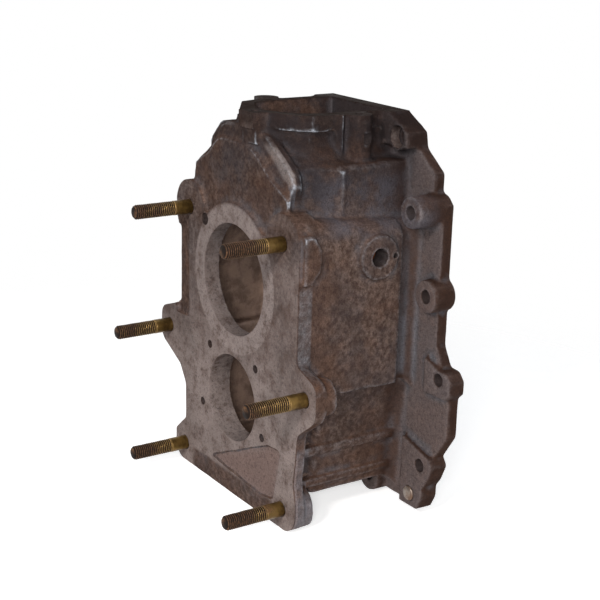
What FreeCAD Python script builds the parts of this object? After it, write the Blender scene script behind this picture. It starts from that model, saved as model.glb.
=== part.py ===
"""Gearbox main case: a sand-cast aluminium housing with its mounting studs and locating dowels.

Millimetres, +Z up. The origin is the middle of the main bearing bore, on the machined front
face. The bores run along Y and the case lies behind the front face, towards +Y. The side
with the round port is +X.
"""
import FreeCAD, Part
import os
from math import cos, radians, sin, tan

V = FreeCAD.Vector

# Overall: the foot and the top are measured from the middle of the main bore
CASE_LENGTH = 118.0
TOP = 135.0
FOOT = -182.0
WALL = 7.0
PAST = 1.0

# Bearing bores in the front wall: the main one is as deep as the wall, the lower one has a hub
MAIN_BORE = 90.0
LOWER_BORE = 72.0
LOWER_BORE_DEPTH = 20.0
LOWER_HUB_WALL = 9.0
BORE_SPACING = 99.0
FRONT_WALL = 14.0
RETAINER_CIRCLE = LOWER_BORE + 28.0
RETAINER_ANGLES = (45.0, 135.0, 201.5, 338.5)
RETAINER_TAP = 6.8
RETAINER_DEPTH = 15.0
OIL_HOLE = 10.0
OIL_HOLE_RADIUS = MAIN_BORE / 2 + 15.0
OIL_HOLE_ANGLE = 138.5

# Machined front flange, and how far the cast surfaces round it are set back
FRONT_FLANGE = 10.0
FACE_RING = MAIN_BORE / 2 + 16.0
SET_BACK = 3.0
FLANGE_WAIST = 76.0
RELIEF_EDGE = 69.0
RELIEF = 4.0
PANEL_ABOVE_FOOT = [(-36, 21, 0), (56, 63, 10), (75, 64, 4), (65, 19, 4), (45, 15, 0)]
PANEL_DEPTH = 1.5

# Mounting studs: each pair's half spacing and height, with the ear round it. The end in the
# casting is drawn at its thread's mean diameter
STUD = 12.0
STUD_TAP = 11.0
STUD_REACH = 51.0
STUD_BURIED = 15.0
STUD_CHAMFER = 1.6
STUD_CLEARANCE = 0.05
STUD_RUNOUT = 1.0
STUD_MOUTH = 13.0
UPPER_STUD = (70.0, 45.0)
MIDDLE_STUD = (104.5, -66.0)
UPPER_EAR = 22.5
MIDDLE_EAR = 15.0
LOWER_EAR = 16.5
LOWER_STUD = (76.5, FOOT + LOWER_EAR)
EAR_DEPTH = 20.0
LEFT_LUG = (-83.0, 35.0, 15.0)
RIGHT_PAD = [(SET_BACK, 55, 0), (11, 55, 0), (18, 44, 0), (18, 29, 0), (11, 18, 0), (SET_BACK, 18, 0)]
RIGHT_PAD_FACE = 96.5

# Front wall above the ring, right and left corners from the top centre down
WALL_FACE_RIGHT = [(8, 109), (20, 106), (30, 100), (40, 93), (48, 87), (60, 82), (72, 76)]
WALL_EDGE_RIGHT = [(26, 121), (34, 117), (43, 111), (53, 105), (67, 95), (70, 86), (67, 74)]
WALL_FACE_LEFT = [(-24, 109), (-33, 106), (-42, 98), (-49, 92), (-57, 89), (-67, 82), (-68, 70)]
WALL_EDGE_LEFT = [(-27, 121), (-35, 117), (-41, 109), (-47, 102), (-59, 92), (-71, 84), (-72, 72)]
WALL_FOOT = 30.0
WALL_STEP = 2.5
WALL_STEP_SHARE = 0.12
WALL_SLOPE = 5.5
WALL_BACK = 17.0

# Body behind the front flange: it widens towards the rear
BODY_FRONT_HALF = 93.0
BODY_HALF = 97.0
BODY_TOP = 64.0
BODY_TOP_FALL = 6.0
BODY_BOTTOM = -72.0
BODY_REAR = 92.0
BODY_ROUND = 14.0
REAR_NECK = 8.0
FLARE = 7.0

# Pan below the body, narrower towards its bottom, and the neck that joins it to the front flange
PAN_HALF = 82.0
PAN_DRAFT = 8.0
PAN_BOTTOM = FOOT + 21.0
PAN_FRONT = 28.0
PAN_ROUND = 5.0
PAN_NECK = 7.0
RIB_TOPS = (PAN_BOTTOM + 42.5, PAN_BOTTOM + 15.0)
RIB_HEIGHT = 7.5
RIB_PROUD = 3.0

# Tower: the rim's outline and the opening seen from above, corners (x, y)
RIM = [
    (6, 0), (26, 0), (28, 12), (45, 20), (59, 32), (58, 58), (54, 84), (54, 118), (-32, 118),
    (-32, 66), (-34, 38), (-30, 24),
]
RIM_BAND = 12.0
OPENING = [
    (4, 16), (15, 16), (28, 22), (41, 31), (47, 46), (49, 105), (-23, 105), (-24, 34), (-18, 28),
]
PROW = (6.0, 26.0)
PROW_FOOT = 111.0
# Tower walls below the rim: outlines at falling heights, flaring out to the body
TOWER_HEIGHTS = (126.0, 112.0, 103.0, 97.0, 88.0, 56.0)
TOWER_OUTLINES = [
    [(-27, 18), (6, 6), (24, 10), (50, 33), (51, 50), (50, 98), (50, 118), (-29, 118)],
    [(-28, 18), (6, 6), (28, 10), (54, 33), (56, 50), (53, 98), (53, 118), (-30, 118)],
    [(-30, 18), (6, 6), (46, 10), (59, 32), (64, 48), (57, 98), (57, 118), (-33, 118)],
    [(-32, 18), (6, 6), (56, 10), (67, 31), (78, 47), (59, 98), (59, 118), (-34, 118)],
    [(-34, 18), (6, 6), (61, 10), (70, 31), (79, 47), (62, 98), (62, 118), (-36, 118)],
    [(-34, 18), (6, 6), (64, 10), (75, 30), (79, 47), (64, 98), (64, 118), (-36, 118)],
]
# Columns on the tower: x, y, radius; and the tapped holes for the cover's screws: x, y
COLUMNS = [(61, 72, 10), (-43, 55, 10)]
COLUMN_RIB = [(48, 53), (59, 53), (62, 57), (59, 61), (48, 61)]
COVER_SCREWS = [(15.5, 8.5), (61, 72), (-43, 55)]
COVER_TAP = 6.8
COVER_TAP_DEPTH = 18.0

# Shoulders beside the tower: the left one is high and round, the right one has a ledge
LEFT_SHOULDER = 79.0
LEFT_SHOULDER_TOP = 116.0
LEFT_SHOULDER_FRONT = 24.0
LEFT_SHOULDER_SLOPE = 17.0
LEFT_SHOULDER_ROUND = 12.0
RIGHT_SHOULDER = 79.0
RIGHT_SHOULDER_FRONT = 45.0
LEDGE = 100.0

# Round port on the right-hand side: a blind tapped hole in a boss that also stands inwards
PORT_Y = 68.0
PORT_Z = 33.0
PORT_BOSS = 17.5
PORT_PROUD = 3.5
PORT_HOLE = 14.0
PORT_DEPTH = 17.0
PORT_FLOOR = 3.0
WITNESS_HOLE = 4.0
WITNESS_OFFSET = 14.0

# Rear flange: its plate, the thick block along its top, and its right edge from the top down.
# The hip and the corner of that edge are thick as well, in from the edge to a straight line
REAR_FLANGE = 9.0
REAR_BLOCK = 20.0
REAR_TOP = [(62, 135, 0), (86, 122, 0), (88, 110, 0)]
REAR_TOP_LEFT = -38.0
SIDE_EDGE = [(109, 94, 0), (109, 77, 0), (121.5, 72, 0), (121.5, -37, 0)]
HIP_EDGE = [(130, -53, 0), (140, -53, 4), (146, -60, 0), (146, -70, 0), (140.5, -75, 0)]
WAIST_EDGE = [(140.5, -107, 0)]
CORNER_ABOVE_FOOT = [(127, 54, 0), (132, 48, 0), (126, 34, 0), (121, 27, 0), (121, 18, 0), (115, 6, 0)]
HIP_INNER = [(113, -76, 0), (113, -47, 0)]
HIP_DEPTH = 14.0
CORNER_INNER_ABOVE_FOOT = [(92, 6, 0), (92, 63, 0)]
CORNER_DEPTH = 15.0

# Bolt holes of the rear flange, and its bosses: half spacing, height, radius, length
BOLT_HOLE = 10.5
BOLT_BOSSES = {
    "shoulder": (109.0, 67.0, 12.5, 31.0),
    "top": (74.0, 117.5, 10.0, 20.0),
    "middle": (117.0, 2.5, 13.0, 19.0),
}
BLOCK_HOLES = ((131.0, -61.0), (116.0, FOOT + 45.0))
FOOT_BOSS = 14.0
FOOT_SPACING = 53.0
FOOT_LENGTH = 17.0
DOWEL = 12.0
DOWEL_PLACE = (105.0, FOOT + 17.0)
DOWEL_FRONT = 1.0
DOWEL_REAR = 8.0
COUNTERBORE = 17.0
COUNTERBORE_DEPTH = 9.0


def rounded(corners, y):
    """A closed wire in the XZ plane at y, through corners (x, z, radius)."""
    count = len(corners)
    legs = []
    for i, (x, z, radius) in enumerate(corners):
        here = V(x, y, z)
        if radius == 0:
            legs.append((here, None, here))
            continue
        before = (V(corners[i - 1][0], y, corners[i - 1][1]) - here).normalize()
        after = (V(corners[(i + 1) % count][0], y, corners[(i + 1) % count][1]) - here).normalize()
        half = before.getAngle(after) / 2
        middle = (before + after).normalize()
        reach = radius / tan(half)
        crown = here + middle * (radius / sin(half) - radius)
        legs.append((here + before * reach, crown, here + after * reach))
    edges = []
    for i, (start, crown, end) in enumerate(legs):
        following = legs[(i + 1) % count][0]
        if crown is not None:
            edges.append(Part.Arc(start, crown, end).toShape())
        if (following - end).Length > 1e-6:
            edges.append(Part.LineSegment(end, following).toShape())
    return Part.Wire(edges)


def slab(corners, front, back):
    """The solid of one outline, corners (x, z, radius), between two depths."""
    return Part.Face(rounded(corners, front)).extrude(V(0, back - front, 0))


def upright(corners, low, high):
    """The solid of one plan outline, corners (x, y), between two heights."""
    points = [V(x, y, low) for x, y in corners]
    return Part.Face(Part.makePolygon(points + points[:1])).extrude(V(0, 0, high - low))


def faceted(rings):
    """A solid of flat facets through plane rings of corners, one after another."""
    start = rings[0]
    turn = V()
    for here, following in zip(start, start[1:] + start[:1]):
        turn += here.cross(following)
    if turn.dot(rings[1][0] - start[0]) > 0:
        rings = [ring[::-1] for ring in rings]
    faces = [Part.Face(Part.makePolygon(ring + ring[:1])) for ring in (rings[0], rings[-1])]
    for near, far in zip(rings, rings[1:]):
        for i in range(len(near)):
            j = (i + 1) % len(near)
            quad = [near[i], near[j], far[j], far[i]]
            normal = (quad[1] - quad[0]).cross(quad[2] - quad[0])
            if abs(normal.dot(quad[3] - quad[0])) < 1e-6 * normal.Length:
                faces.append(Part.Face(Part.makePolygon(quad + quad[:1])))
            else:
                for trio in ([quad[0], quad[1], quad[2]], [quad[0], quad[2], quad[3]]):
                    faces.append(Part.Face(Part.makePolygon(trio + trio[:1])))
    return Part.makeSolid(Part.makeShell(faces))


def at_depth(corners, y):
    """Corners (x, z) as points at one depth."""
    return [V(x, y, z) for x, z in corners]


def from_foot(corners):
    """Corners (x, z, radius) whose heights are measured above the foot."""
    return [(x, FOOT + z, radius) for x, z, radius in corners]


def flipped(half):
    """The left half of an outline from its right half."""
    return [(-corner[0],) + tuple(corner[1:]) for corner in reversed(half)]


def box(half, top, bottom):
    """The corners of a section of the case, from half its width, its top and its bottom."""
    return [(half, top), (half, bottom), (-half, bottom), (-half, top)]


def frustum(front_box, front, back_box, back):
    """A solid between two sections of the case."""
    return faceted([at_depth(front_box, front), at_depth(back_box, back)])


def softened(solid, radius):
    """A section of the case whose upper long edges are rounded."""
    middle = solid.BoundBox.Center.z
    edges = [
        edge for edge in solid.Edges
        if edge.BoundBox.ZMin > middle and edge.BoundBox.YLength > PAST
    ]
    return solid.makeFillet(radius, edges)


def side_slab(corners, inner, outer):
    """The solid of one outline on the right-hand side, corners (y, z, radius)."""
    flat = slab(corners, -outer, -inner)
    flat.rotate(V(0, 0, 0), V(0, 0, 1), 90)
    return flat


def rod(x, z, front, back, radius):
    """A cylinder along Y."""
    return Part.makeCylinder(radius, back - front, V(x, front, z), V(0, 1, 0))


def both(place):
    """A place on the right and its mirror image on the left."""
    x, z = place
    return [(x, z), (-x, z)]


def around(x, z, radius, angle):
    """A place on a circle of the front face."""
    return x + radius * cos(radians(angle)), z + radius * sin(radians(angle))


def bolt_places():
    """Every bolt hole of the rear flange: x, z, boss radius and boss front."""
    places = []
    for half, height, radius, length in BOLT_BOSSES.values():
        places += [(x, z, radius, CASE_LENGTH - length) for x, z in both((half, height))]
    for place in BLOCK_HOLES:
        places += [(x, z, BOLT_HOLE / 2 + PAST, CASE_LENGTH - HIP_DEPTH) for x, z in both(place)]
    for x, z in both((FOOT_SPACING, FOOT + FOOT_BOSS)):
        places.append((x, z, FOOT_BOSS, CASE_LENGTH - FOOT_LENGTH))
    return places


def stud_places():
    """Every stud with its ear's radius."""
    pairs = ((UPPER_STUD, UPPER_EAR), (MIDDLE_STUD, MIDDLE_EAR), (LOWER_STUD, LOWER_EAR))
    return [(x, z, ear) for place, ear in pairs for x, z in both(place)]


def front_outline():
    """The flange below the ring: it is straight on the right and has a waist on the left."""
    side = UPPER_STUD[0] + UPPER_EAR
    ear_side = MIDDLE_STUD[0] + MIDDLE_EAR
    foot_side = LOWER_STUD[0] + LOWER_EAR
    ear_top = [
        (UPPER_STUD[0] - UPPER_EAR, UPPER_STUD[1], 0),
        (side, UPPER_STUD[1], 0),
        (side, MIDDLE_STUD[1] + 1.5 * MIDDLE_EAR, 6),
        (ear_side, MIDDLE_STUD[1] + 0.9 * MIDDLE_EAR, 0.7 * MIDDLE_EAR),
        (ear_side, MIDDLE_STUD[1] - 0.9 * MIDDLE_EAR, 0.8 * MIDDLE_EAR),
    ]
    right = ear_top + [
        (side + 4, MIDDLE_STUD[1] - 2.1 * MIDDLE_EAR, 6),
        (foot_side - 1, LOWER_STUD[1] + 1.6 * LOWER_EAR, 10),
        (foot_side + 3, LOWER_STUD[1] + 0.5 * LOWER_EAR, 8),
        (foot_side + 3, FOOT, LOWER_EAR),
    ]
    left = ear_top + [
        (FLANGE_WAIST + 10, MIDDLE_STUD[1] - 2 * MIDDLE_EAR, 0),
        (FLANGE_WAIST, MIDDLE_STUD[1] - 3 * MIDDLE_EAR, 10),
        (FLANGE_WAIST, LOWER_STUD[1] + 1.4 * LOWER_EAR, 0),
        (foot_side, LOWER_STUD[1] + 0.5 * LOWER_EAR, 0),
        (foot_side, FOOT, 0.8 * LOWER_EAR),
    ]
    return right + flipped(left)


def front_flange():
    """The flange with its ring, and the deep ears that the studs screw into."""
    solids = [slab(front_outline(), 0, FRONT_FLANGE), rod(0, 0, 0, FRONT_FLANGE, FACE_RING)]
    solids += [rod(x, z, 0, EAR_DEPTH, ear) for x, z, ear in stud_places()]
    lug_x, lug_z, lug = LEFT_LUG
    solids.append(rod(lug_x, lug_z, SET_BACK, EAR_DEPTH, lug))
    solids.append(side_slab(RIGHT_PAD, UPPER_STUD[0], RIGHT_PAD_FACE))
    outer = LOWER_STUD[0] + LOWER_EAR
    inner = LOWER_STUD[0] - LOWER_EAR
    foot = [
        (inner, LOWER_STUD[1], 0), (outer, LOWER_STUD[1], 0), (outer, FOOT, 0.8 * LOWER_EAR),
        (inner, FOOT, 0),
    ]
    solids += [slab(foot, 0, EAR_DEPTH), slab(flipped(foot), 0, EAR_DEPTH)]
    return solids


def front_wall():
    """The cast wall above the ring. A step and then a slope lead from its face to its edge."""
    shut = [(UPPER_STUD[0], WALL_FOOT), (-UPPER_STUD[0], WALL_FOOT)]
    face = WALL_FACE_RIGHT + shut + WALL_FACE_LEFT[::-1]
    edge = WALL_EDGE_RIGHT + shut + WALL_EDGE_LEFT[::-1]
    step = [
        (a[0] + WALL_STEP_SHARE * (b[0] - a[0]), a[1] + WALL_STEP_SHARE * (b[1] - a[1]))
        for a, b in zip(face, edge)
    ]
    return faceted([
        at_depth(face, SET_BACK), at_depth(step, SET_BACK + WALL_STEP),
        at_depth(edge, SET_BACK + WALL_SLOPE), at_depth(edge, WALL_BACK),
    ])


def body_shapes(inset):
    """The body's lengths, or with the wall as inset the hollow in them."""
    half = BODY_HALF - inset
    top = BODY_TOP - inset
    bottom = BODY_BOTTOM + inset
    corner = BODY_ROUND - inset / 2
    front = FRONT_WALL if inset else FRONT_FLANGE - PAST
    rear_top = top - BODY_TOP_FALL
    end = CASE_LENGTH + PAST if inset else CASE_LENGTH
    rear_half = half - REAR_NECK
    front_half = BODY_FRONT_HALF - inset
    main = frustum(
        box(front_half, top, bottom), front, box(half, rear_top, bottom), BODY_REAR - inset)
    neck = frustum(box(rear_half, rear_top, bottom), BODY_REAR / 2, box(rear_half, rear_top, bottom), end)
    shapes = [softened(main, corner), softened(neck, corner)]
    if not inset:
        shapes.append(flare(box(rear_half, rear_top - corner / 2, bottom)))
    return shapes


def flare(section):
    """A short splay that joins a section of the case to the rear flange."""
    flange_front = CASE_LENGTH - REAR_FLANGE
    (upper, top), (lower, bottom) = section[:2]
    splayed = [
        (upper + FLARE, top + FLARE), (lower + FLARE, bottom - FLARE),
        (-lower - FLARE, bottom - FLARE), (-upper - FLARE, top + FLARE),
    ]
    return frustum(section, flange_front - FLARE, splayed, flange_front)


def pan_half(height):
    """Half the pan's width at a height: it has a draft towards its bottom."""
    return PAN_HALF - PAN_DRAFT * (BODY_BOTTOM - height) / (BODY_BOTTOM - PAN_BOTTOM)


def pan_section(top, bottom, grown):
    """The corners of a drafted section of the pan that is grown sideways."""
    upper = pan_half(top) + grown
    lower = pan_half(bottom) + grown
    return [(upper, top), (lower, bottom), (-lower, bottom), (-upper, top)]


def pan_shapes(inset):
    """The pan with its front neck, or with the wall as inset the hollow in them."""
    bottom = PAN_BOTTOM + inset
    top = BODY_BOTTOM + WALL + PAST
    front = PAN_FRONT + inset
    end = CASE_LENGTH + PAST if inset else CASE_LENGTH
    neck_front = FRONT_WALL if inset else FRONT_FLANGE - PAST
    section = pan_section(top, bottom, -inset)
    pan = frustum(section, front, section, end)
    corners = [
        edge for edge in pan.Edges
        if edge.BoundBox.YMax < front + PAST and edge.BoundBox.ZLength > PAN_ROUND
    ]
    neck = pan_section(top, bottom + PAN_NECK, -inset - PAN_NECK)
    shapes = [pan.makeFillet(PAN_ROUND, corners), frustum(neck, neck_front, neck, front + PAN_NECK)]
    if not inset:
        shapes.append(flare(section))
    return shapes


def pan_ribs():
    """Long ribs on the pan's sides, from flange to flange."""
    shapes = []
    for top in RIB_TOPS:
        section = pan_section(top, top - RIB_HEIGHT, RIB_PROUD)
        shapes.append(frustum(section, FRONT_FLANGE - PAST, section, CASE_LENGTH - REAR_FLANGE))
    return shapes


def tower():
    """The tower's flared walls with its rim, its prow in front and its columns."""
    rings = [
        [V(x, y, height) for x, y in outline]
        for height, outline in zip(TOWER_HEIGHTS, TOWER_OUTLINES)
    ]
    left, right = PROW
    prow = faceted([
        [V(x, 0, TOP), V(x, WALL_BACK, TOP), V(x, WALL_BACK, PROW_FOOT), V(x, SET_BACK, PROW_FOOT)]
        for x in (left, right)
    ])
    shapes = [faceted(rings), upright(RIM, TOP - RIM_BAND, TOP), prow]
    foot = LEDGE - WALL / 2
    shapes += [Part.makeCylinder(radius, TOP - foot, V(x, y, foot)) for x, y, radius in COLUMNS]
    shapes.append(upright(COLUMN_RIB, foot, TOP))
    return shapes


def shoulder_shapes(inset):
    """The shoulders on both sides of the tower, or with the wall as inset the hollow in them."""
    low = BODY_TOP - BODY_ROUND
    end = CASE_LENGTH + PAST if inset else CASE_LENGTH
    left = LEFT_SHOULDER - inset
    left_top = LEFT_SHOULDER_TOP - inset
    right = RIGHT_SHOULDER - inset
    ledge = LEDGE - inset
    corner = LEFT_SHOULDER_ROUND - inset / 2
    left_outline = [
        (-left, low, 0), (-left, left_top - LEFT_SHOULDER_SLOPE, corner),
        (-left + LEFT_SHOULDER_SLOPE, left_top, corner), (-RELIEF_EDGE / 3, left_top, 0),
        (-RELIEF_EDGE / 3, low, 0),
    ]
    right_outline = [(0, low, 0), (right, low, 0), (right - SET_BACK, ledge, 4), (0, ledge, 0)]
    return [
        slab(left_outline, LEFT_SHOULDER_FRONT + inset, end),
        slab(right_outline, RIGHT_SHOULDER_FRONT + inset, end),
    ]


def rear_flange():
    """The flange plate with its thick blocks and bolt bosses."""
    corner = from_foot(CORNER_ABOVE_FOOT)
    edge = SIDE_EDGE + HIP_EDGE + WAIST_EDGE + corner
    right = REAR_TOP + edge
    left = flipped(REAR_TOP[1:] + edge) + [(REAR_TOP_LEFT, TOP, 0)]
    top_left = flipped(REAR_TOP[1:]) + [(REAR_TOP_LEFT, TOP, 0)]
    front = CASE_LENGTH - REAR_FLANGE
    shapes = [
        slab(right + left, front, CASE_LENGTH),
        slab(REAR_TOP + top_left, CASE_LENGTH - REAR_BLOCK, CASE_LENGTH),
    ]
    corner_block = corner + from_foot(CORNER_INNER_ABOVE_FOOT)
    blocks = ((HIP_EDGE + HIP_INNER, HIP_DEPTH), (corner_block, CORNER_DEPTH))
    for block, depth in blocks:
        for outline in (block, flipped(block)):
            shapes.append(slab(outline, CASE_LENGTH - depth, CASE_LENGTH))
    shapes += [rod(x, z, front, CASE_LENGTH, radius) for x, z, radius, front in bolt_places()]
    return shapes


def lower_hub():
    """The hub of the lower bore inside the front wall."""
    radius = LOWER_BORE / 2 + LOWER_HUB_WALL
    return rod(0, -BORE_SPACING, FRONT_WALL - PAST, LOWER_BORE_DEPTH, radius)


def left_relief():
    """The wedge that is missing along the flange's left edge, outside the machined band."""
    side = UPPER_STUD[0] + UPPER_EAR
    low = MIDDLE_STUD[1] + MIDDLE_EAR
    high = UPPER_STUD[1]
    return faceted([
        [V(-RELIEF_EDGE, 0, z), V(-side - PAST, 0, z), V(-side - PAST, RELIEF, z)]
        for z in (low, high)
    ])


def machined():
    """Everything that is bored, drilled or tapped after casting."""
    cuts = [
        rod(0, 0, -PAST, FRONT_WALL + PAST, MAIN_BORE / 2),
        rod(0, -BORE_SPACING, -PAST, LOWER_BORE_DEPTH + PAST, LOWER_BORE / 2),
    ]
    for angle in RETAINER_ANGLES:
        x, z = around(0, -BORE_SPACING, RETAINER_CIRCLE / 2, angle)
        cuts.append(rod(x, z, -PAST, RETAINER_DEPTH, RETAINER_TAP / 2))
    x, z = around(0, 0, OIL_HOLE_RADIUS, OIL_HOLE_ANGLE)
    cuts.append(rod(x, z, -PAST, FRONT_WALL + PAST, OIL_HOLE / 2))
    for x, z, _ in stud_places():
        cuts.append(rod(x, z, -PAST, STUD_BURIED + STUD_RUNOUT, STUD_TAP / 2 + STUD_CLEARANCE))
        mouth = V(x, 0, z)
        cuts.append(Part.makeCone(STUD_MOUTH / 2, STUD_TAP / 2, STUD_RUNOUT, mouth, V(0, 1, 0)))
    for x, z, _, front in bolt_places():
        cuts.append(rod(x, z, front - PAST, CASE_LENGTH + PAST, BOLT_HOLE / 2))
    top_x, top_z, _, top_length = BOLT_BOSSES["top"]
    top_front = CASE_LENGTH - top_length
    for x, z in both((top_x, top_z)):
        cuts.append(rod(x, z, top_front - PAST, top_front + COUNTERBORE_DEPTH, COUNTERBORE / 2))
    for x, z in both(DOWEL_PLACE):
        cuts.append(rod(x, z, CASE_LENGTH - CORNER_DEPTH - PAST, CASE_LENGTH + PAST, DOWEL / 2))
    for x, y in COVER_SCREWS:
        floor = V(x, y, TOP - COVER_TAP_DEPTH)
        cuts.append(Part.makeCylinder(COVER_TAP / 2, COVER_TAP_DEPTH + PAST, floor))
    face = BODY_HALF + PORT_PROUD
    side = V(1, 0, 0)
    port = V(face - PORT_DEPTH, PORT_Y, PORT_Z)
    cuts.append(Part.makeCylinder(PORT_HOLE / 2, PORT_DEPTH + PAST, port, side))
    witness = V(face - WITNESS_HOLE, PORT_Y + WITNESS_OFFSET, PORT_Z)
    cuts.append(Part.makeCylinder(WITNESS_HOLE / 2, WITNESS_HOLE + PAST, witness, side))
    return cuts


def port_boss(proud, depth):
    """A round boss on the body's side, and inwards to a depth below its face."""
    root = V(BODY_HALF + proud - depth, PORT_Y, PORT_Z)
    return Part.makeCylinder(PORT_BOSS, depth, root, V(1, 0, 0))


def housing_casting():
    """The whole casting: outer forms joined, hollowed, given its inner hubs and then machined."""
    forms = front_flange() + [front_wall()] + body_shapes(0) + pan_shapes(0) + pan_ribs()
    forms += shoulder_shapes(0) + tower() + rear_flange() + [port_boss(PORT_PROUD, 2 * WALL)]
    rough = forms[0].multiFuse(forms[1:])
    middle = slab([
        (-RELIEF_EDGE / 2, 0, 0), (-RELIEF_EDGE / 2, LEDGE - WALL, 0),
        (RELIEF_EDGE / 2, LEDGE - WALL, 0), (RELIEF_EDGE / 2, 0, 0),
    ], RIGHT_SHOULDER_FRONT, CASE_LENGTH + PAST)
    hollow = body_shapes(WALL) + pan_shapes(WALL) + shoulder_shapes(WALL)
    hollow += [upright(OPENING, 0, TOP + PAST), middle, left_relief()]
    hollow.append(slab(from_foot(PANEL_ABOVE_FOOT), -PAST, PANEL_DEPTH))
    inner_boss = port_boss(0, PORT_DEPTH + PORT_FLOOR - PORT_PROUD)
    case = rough.cut(hollow).multiFuse([lower_hub(), inner_boss]).cut(machined())
    return case.removeSplitter()


def mounting_studs():
    """Six studs in the front flange, plain here and threaded on the real ones."""
    studs = []
    for x, z, _ in stud_places():
        outside = rod(x, z, -STUD_REACH, 0, STUD / 2)
        tip = [edge for edge in outside.Edges if edge.BoundBox.YMax < -STUD_REACH / 2]
        inside = rod(x, z, -PAST, STUD_BURIED, STUD_TAP / 2)
        studs.append(outside.makeChamfer(STUD_CHAMFER, tip).fuse(inside))
    return Part.makeCompound(studs)


def locating_dowels():
    """Two dowels that stand out behind the rear flange."""
    front = CASE_LENGTH - CORNER_DEPTH - DOWEL_FRONT
    back = CASE_LENGTH + DOWEL_REAR
    radius = DOWEL / 2 - STUD_CLEARANCE
    dowels = []
    for x, z in both(DOWEL_PLACE):
        pin = rod(x, z, front, back, radius)
        end = [edge for edge in pin.Edges if edge.BoundBox.YMin > CASE_LENGTH]
        dowels.append(pin.makeChamfer(STUD_CHAMFER / 2, end))
    return Part.makeCompound(dowels)


os.makedirs("parts", exist_ok=True)
for make in (housing_casting, mounting_studs, locating_dowels):
    make().exportStep("parts/" + make.__name__ + ".step")
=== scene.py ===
"""Looks of the gearbox main case: the softened casting, the threaded studs, the dowels, their finishes."""
from math import cos, pi, radians, sin
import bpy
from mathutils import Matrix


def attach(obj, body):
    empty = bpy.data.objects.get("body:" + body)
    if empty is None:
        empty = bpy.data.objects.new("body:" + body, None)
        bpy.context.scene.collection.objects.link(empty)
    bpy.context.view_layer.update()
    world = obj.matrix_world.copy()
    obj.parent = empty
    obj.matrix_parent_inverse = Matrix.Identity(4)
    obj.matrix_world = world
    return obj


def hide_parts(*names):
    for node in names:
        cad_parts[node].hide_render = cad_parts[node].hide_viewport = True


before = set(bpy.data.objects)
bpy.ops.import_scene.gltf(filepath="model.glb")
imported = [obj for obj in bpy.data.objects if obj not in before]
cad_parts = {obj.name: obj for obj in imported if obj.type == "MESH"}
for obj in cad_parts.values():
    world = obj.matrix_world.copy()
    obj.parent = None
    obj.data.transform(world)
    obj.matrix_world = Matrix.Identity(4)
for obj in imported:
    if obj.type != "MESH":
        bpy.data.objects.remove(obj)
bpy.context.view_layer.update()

from types import SimpleNamespace

import bmesh
import bpy
import numpy as np
from mathutils import Matrix, Vector, kdtree, noise

MM = 0.001
SEED = 7

# Planes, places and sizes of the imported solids, in millimetres and degrees
CASE_LENGTH = 118.0
TOP = 135.0
FOOT = -182.0
BORE_SPACING = 99.0
MAIN_BORE = 45.0
BEARING_RING = 60.0
LOWER_BORE = 36.0
LOWER_HUB = 20.0
FRONT_WALL = 14.0
RETAINER = 50.0
RETAINER_ANGLES = (45, 135, 201.5, 338.5)
RETAINER_DEPTH = 15.0
OIL_HOLE = (-44.9, 39.8)
OIL_HOLE_RADIUS = 5.0
STUDS = [(70.0, 45.0), (104.5, -66.0), (76.5, -165.5)]
STUD = 6.0
STUD_CORE = 5.5
STUD_REACH = 51.0
STUD_BURIED = 15.0
STUD_CHAMFER = 1.6
SHANK = 15.0
THREAD_PITCH = 1.75
THREAD_DEPTH = 1.0
DOWEL = 5.95
DOWEL_PLACE = (105.0, -165.0)
DOWEL_ENDS = (102.0, 126.0)
COVER_SCREWS = [(15.5, 8.5), (61.0, 72.0), (-43.0, 55.0)]
TAPPED = 3.4
COVER_DEPTH = 18.0
PORT = (68.0, 33.0)
PORT_FACE = 100.5
PORT_RADIUS = 7.0
PORT_DEPTH = 17.0
PIN_ASIDE = 14.0
PIN_RADIUS = 2.0
PIN_DEPTH = 4.0
SCREWS = [(109.0, 67.0), (74.0, 117.5), (117.0, 2.5), (131.0, -61.0), (116.0, -137.0), (53.0, -168.0)]
SCREW = 5.25
SCREW_START = 70.0
COUNTERBORE = 8.5
COUNTERBORE_SPAN = (90.0, 107.0)
DOWEL_START = 95.0
CLEARANCE = 0.05
GEAR_SPACE_HALF = 91.5
PAN_HALF = 78.5
PAN_TOP = -70.0
PAN_TAPER = 0.09
INSIDE_MIDDLE = -50.0

# How round holes are cut, how far a cutter reaches past a face, and which holes count as small
PAST = 9.0
WIDE_BORE = 20.0
BORE_SIDES = 128
HOLE_SIDES = 48
SMALL_HOLE = 8.0
FACETED = 0.98

# How the casting is softened: lengths in millimetres, rounds, the triangles wanted, and how strongly
# an edge or a hollow bends, per millimetre
VOXEL = 1.5
SOFTENING = 5
TRIM = 4.0
TRIANGLES = 165000
UNEVEN = ((16.0, 0.28), (5.0, 0.1))
SUNK_SHARE = 0.2
HOLE_SLACK = 1.5
HOLE_LIFT = 0.25
EDGE_ROUNDS, EDGE_BEND, EDGE_SPAN = 2, 0.06, 0.16
HOLLOW_ROUNDS, HOLLOW_BEND, HOLLOW_SPAN = 9, 0.02, 0.08

# When a point counts as touching another or lying on a plane or a wall, and a face as square to a plane
TOUCHING = 0.01
ON_WALL = 0.05
SQUARE_TO = 0.999

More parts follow.
